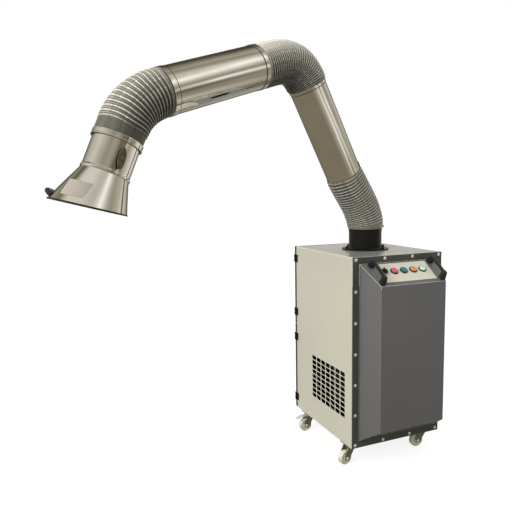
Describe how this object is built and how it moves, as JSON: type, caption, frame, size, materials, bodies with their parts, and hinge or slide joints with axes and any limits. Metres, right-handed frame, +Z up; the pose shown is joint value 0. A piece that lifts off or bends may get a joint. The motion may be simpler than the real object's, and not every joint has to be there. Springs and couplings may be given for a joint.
{
  "type": "solder fume extractor",
  "caption": "Mobile fume extractor: a filter cabinet on swivel casters with front controls, rear filter doors and a swivelling, jointed suction arm ending in a hood.",
  "frame": {"origin": "on the arm's swivel axis at the underside of the base tray, between the casters", "axes": "+Z up, the control side faces -Y and +X is to the right for a person facing the controls"},
  "size_m": [1.4113, 0.6688, 1.5618],
  "materials": {
    "beige_paint": "gloss",
    "grey_paint": "satin",
    "black_paint": "satin",
    "grey_plastic": "matte",
    "black_plastic": "satin",
    "black_metal": "satin",
    "black_rubber": "matte",
    "zinc_steel": "satin",
    "olive_steel": "satin",
    "cream_nylon": "satin",
    "polished_stainless": "polished",
    "grey_hose": "matte",
    "filter_media": "matte",
    "carbon_media": "matte",
    "red_plastic": "gloss",
    "green_plastic": "gloss",
    "orange_plastic": "gloss",
    "lamp_lens": "gloss"
  },
  "bodies": {
    "cabinet": {"cabinet_shell": "beige_paint", "base_tray": "zinc_steel", "front_cover": "grey_paint", "inner_bulkhead": "zinc_steel", "control_box": "grey_plastic", "control_plate": "beige_paint", "front_handle_left": "black_plastic", "front_handle_right": "black_plastic", "power_lamp": "lamp_lens", "filter_shelf": "zinc_steel", "carbon_filter": "carbon_media", "main_filter": "filter_media", "pre_filter": "filter_media", "blower_housing": "zinc_steel", "blower_motor": "grey_paint", "inlet_collar": "black_paint", "upper_door_hinge_1_fixed_leaf": "black_metal", "upper_door_hinge_2_fixed_leaf": "black_metal", "lower_door_hinge_1_fixed_leaf": "black_metal", "lower_door_hinge_2_fixed_leaf": "black_metal", "caster_plate_front_left": "zinc_steel", "caster_plate_front_right": "zinc_steel", "caster_plate_rear_left": "zinc_steel", "caster_plate_rear_right": "zinc_steel"},
    "arm_base": {"swivel_sleeve": "black_paint", "lower_hose": "grey_hose"},
    "lower_arm": {"lower_tube": "polished_stainless", "lower_link": "zinc_steel", "elbow_hose": "grey_hose"},
    "upper_arm": {"upper_tube": "polished_stainless", "upper_link": "zinc_steel", "wrist_hose": "grey_hose"},
    "wrist": {"wrist_ring": "polished_stainless"},
    "hood": {"hood": "polished_stainless", "hood_rim": "black_rubber", "hood_handle": "black_plastic"},
    "damper": {"damper": "olive_steel"},
    "upper_door": {"upper_door": "grey_paint", "upper_door_hinge_1_door_leaf": "black_metal", "upper_door_hinge_2_door_leaf": "black_metal"},
    "upper_door_latch": {"upper_door_latch": "black_plastic"},
    "lower_door": {"lower_door": "grey_paint", "lower_door_hinge_1_door_leaf": "black_metal", "lower_door_hinge_2_door_leaf": "black_metal"},
    "lower_door_latch": {"lower_door_latch": "black_plastic"},
    "blower_wheel": {"blower_impeller": "zinc_steel"},
    "selector": {"selector_switch": "black_plastic"},
    "stop_button": {"stop_button": "red_plastic"},
    "start_button": {"start_button": "green_plastic"},
    "purge_button": {"purge_button": "orange_plastic"},
    "caster_front_left": {"caster_fork_front_left": "olive_steel"},
    "wheel_front_left": {"caster_wheel_front_left": "cream_nylon"},
    "caster_front_right": {"caster_fork_front_right": "olive_steel"},
    "wheel_front_right": {"caster_wheel_front_right": "cream_nylon"},
    "caster_rear_left": {"caster_fork_rear_left": "olive_steel"},
    "wheel_rear_left": {"caster_wheel_rear_left": "cream_nylon"},
    "brake_rear_left": {"brake_pedal_rear_left": "zinc_steel"},
    "caster_rear_right": {"caster_fork_rear_right": "olive_steel"},
    "wheel_rear_right": {"caster_wheel_rear_right": "cream_nylon"},
    "brake_rear_right": {"brake_pedal_rear_right": "zinc_steel"}
  },
  "joints": [
    {"name": "arm_swivel", "type": "hinge", "parent": "cabinet", "child": "arm_base", "pos_m": [0, 0, 0.7903], "axis": [0, 0, 1], "range_deg": [-175, 175]},
    {"name": "shoulder", "type": "hinge", "parent": "arm_base", "child": "lower_arm", "pos_m": [0, 0, 0.813], "axis": [-0.2588, 0.9659, 0], "range_deg": [-44, 31], "deforming": ["lower_hose"]},
    {"name": "elbow", "type": "hinge", "parent": "lower_arm", "child": "upper_arm", "pos_m": [-0.3557, -0.09531, 1.42588], "axis": [0.2588, -0.9659, 0], "range_deg": [-62, 43], "deforming": ["elbow_hose"]},
    {"name": "wrist", "type": "hinge", "parent": "upper_arm", "child": "wrist", "pos_m": [-0.95215, -0.25513, 1.22286], "axis": [0.2588, -0.9659, 0], "range_deg": [-60, 50], "deforming": ["wrist_hose"]},
    {"name": "hood_roll", "type": "hinge", "parent": "wrist", "child": "hood", "pos_m": [-1.00048, -0.26808, 1.10831], "axis": [-0.3867, -0.1036, -0.9164], "range_deg": [-90, 90]},
    {"name": "damper_turn", "type": "hinge", "parent": "hood", "child": "damper", "pos_m": [-1.02369, -0.2743, 1.05333], "axis": [0.2588, -0.9659, 0], "range_deg": [0, 90]},
    {"name": "upper_door_swing", "type": "hinge", "parent": "cabinet", "child": "upper_door", "pos_m": [-0.2046, 0.2355, 0.5505], "axis": [0, 0, 1], "range_deg": [0, 120]},
    {"name": "upper_door_latch_turn", "type": "hinge", "parent": "upper_door", "child": "upper_door_latch", "pos_m": [0.172, 0.2495, 0.5505], "axis": [0, 1, 0], "range_deg": [0, 90]},
    {"name": "lower_door_swing", "type": "hinge", "parent": "cabinet", "child": "lower_door", "pos_m": [-0.2046, 0.2355, 0.1895], "axis": [0, 0, 1], "range_deg": [0, 120]},
    {"name": "lower_door_latch_turn", "type": "hinge", "parent": "lower_door", "child": "lower_door_latch", "pos_m": [0.172, 0.2495, 0.1895], "axis": [0, 1, 0], "range_deg": [0, 90]},
    {"name": "blower_spin", "type": "hinge", "parent": "cabinet", "child": "blower_wheel", "pos_m": [0.02, -0.01, 0.16], "axis": [0, 0, 1], "continuous": true},
    {"name": "selector_turn", "type": "hinge", "parent": "cabinet", "child": "selector", "pos_m": [-0.094, -0.27317, 0.66357], "axis": [0, -0.5852, 0.8109], "range_deg": [-45, 45]},
    {"name": "stop_button_press", "type": "slide", "parent": "cabinet", "child": "stop_button", "axis": [0, 0.5852, -0.8109], "range_m": [0, 0.004]},
    {"name": "start_button_press", "type": "slide", "parent": "cabinet", "child": "start_button", "axis": [0, 0.5852, -0.8109], "range_m": [0, 0.004]},
    {"name": "purge_button_press", "type": "slide", "parent": "cabinet", "child": "purge_button", "axis": [0, 0.5852, -0.8109], "range_m": [0, 0.004]},
    {"name": "caster_swivel_front_left", "type": "hinge", "parent": "cabinet", "child": "caster_front_left", "pos_m": [-0.17, -0.167, -0.0104], "axis": [0, 0, 1], "continuous": true},
    {"name": "wheel_spin_front_left", "type": "hinge", "parent": "caster_front_left", "child": "wheel_front_left", "pos_m": [-0.19561, -0.17152, -0.057], "axis": [0.1736, -0.9848, 0], "continuous": true},
    {"name": "caster_swivel_front_right", "type": "hinge", "parent": "cabinet", "child": "caster_front_right", "pos_m": [0.17, -0.167, -0.0104], "axis": [0, 0, 1], "continuous": true},
    {"name": "wheel_spin_front_right", "type": "hinge", "parent": "caster_front_right", "child": "wheel_front_right", "pos_m": [0.14406, -0.16519, -0.057], "axis": [-0.0698, -0.9976, 0], "continuous": true},
    {"name": "caster_swivel_rear_left", "type": "hinge", "parent": "cabinet", "child": "caster_rear_left", "pos_m": [-0.17, 0.167, -0.0104], "axis": [0, 0, 1], "continuous": true},
    {"name": "wheel_spin_rear_left", "type": "hinge", "parent": "caster_rear_left", "child": "wheel_rear_left", "pos_m": [-0.196, 0.167, -0.057], "axis": [0, -1, 0], "continuous": true},
    {"name": "brake_rear_left_press", "type": "hinge", "parent": "caster_rear_left", "child": "brake_rear_left", "pos_m": [-0.174, 0.167, -0.0162], "axis": [0, -1, 0], "range_deg": [0, 12]},
    {"name": "caster_swivel_rear_right", "type": "hinge", "parent": "cabinet", "child": "caster_rear_right", "pos_m": [0.17, 0.167, -0.0104], "axis": [0, 0, 1], "continuous": true},
    {"name": "wheel_spin_rear_right", "type": "hinge", "parent": "caster_rear_right", "child": "wheel_rear_right", "pos_m": [0.14406, 0.16519, -0.057], "axis": [0.0698, -0.9976, 0], "continuous": true},
    {"name": "brake_rear_right_press", "type": "hinge", "parent": "caster_rear_right", "child": "brake_rear_right", "pos_m": [0.16601, 0.16672, -0.0162], "axis": [0.0698, -0.9976, 0], "range_deg": [0, 12]}
  ]
}
